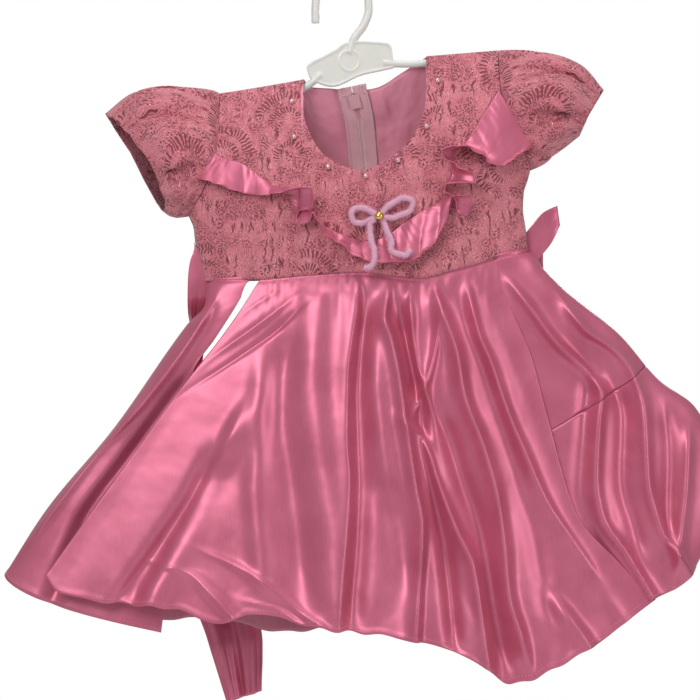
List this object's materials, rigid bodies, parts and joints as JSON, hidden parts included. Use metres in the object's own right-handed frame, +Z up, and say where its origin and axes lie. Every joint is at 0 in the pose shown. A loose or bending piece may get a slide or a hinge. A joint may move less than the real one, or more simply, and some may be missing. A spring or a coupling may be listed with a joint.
{
  "type": "child's dress on a clothes hanger",
  "caption": "Short-sleeved party dress with a lace bodice, a full satin skirt, a chest frill, a bow and sash ends, hanging on a plastic hanger.",
  "frame": {"origin": "inside top of the hanger's hook, where a rail carries it", "axes": "+Z up, the dress's front faces -Y, +X to the right as seen from the front"},
  "size_m": [0.616, 0.1442, 0.6253],
  "materials": {
    "lace": "knitted lace",
    "satin": "shiny satin",
    "lining": "matt lining",
    "tape": "woven tape",
    "chenille": "fuzzy yarn",
    "pearl": "pearly",
    "brass": "polished",
    "coil": "moulded",
    "hanger": "milky moulded plastic"
  },
  "bodies": {
    "dress": {"hanger": "hanger", "bodice_front": "lace", "bodice_back_left": "lace", "bodice_back_right": "lace", "back_lining_left": "lining", "back_lining_right": "lining", "zip_tape_left": "tape", "zip_tape_right": "tape", "zip_coil": "coil", "zip_slider": "coil", "sleeve_left": "lace", "sleeve_right": "lace", "skirt_front": "satin", "skirt_back": "satin", "skirt_side_left": "satin", "skirt_side_right_upper": "satin", "skirt_side_right_lower": "satin", "sash_left": "satin", "sash_right": "satin", "frill_left": "satin", "frill_right": "satin", "bow_loop_left": "chenille", "bow_loop_right": "chenille", "bow_tail_left": "chenille", "bow_tail_right": "chenille", "bow_bead": "brass", "pearl_1": "pearl", "pearl_2": "pearl", "pearl_3": "pearl", "pearl_4": "pearl", "pearl_5": "pearl", "pearl_6": "pearl", "pearl_7": "pearl"},
    "pull_tab": {"zip_pull": "coil"}
  },
  "joints": [
    {"name": "pull_tab_swing", "type": "hinge", "parent": "dress", "child": "pull_tab", "pos_m": [0.01029, 0.01866, -0.10476], "axis": [0.9669, -0.0323, 0.2531], "range_deg": [0, 150]}
  ]
}
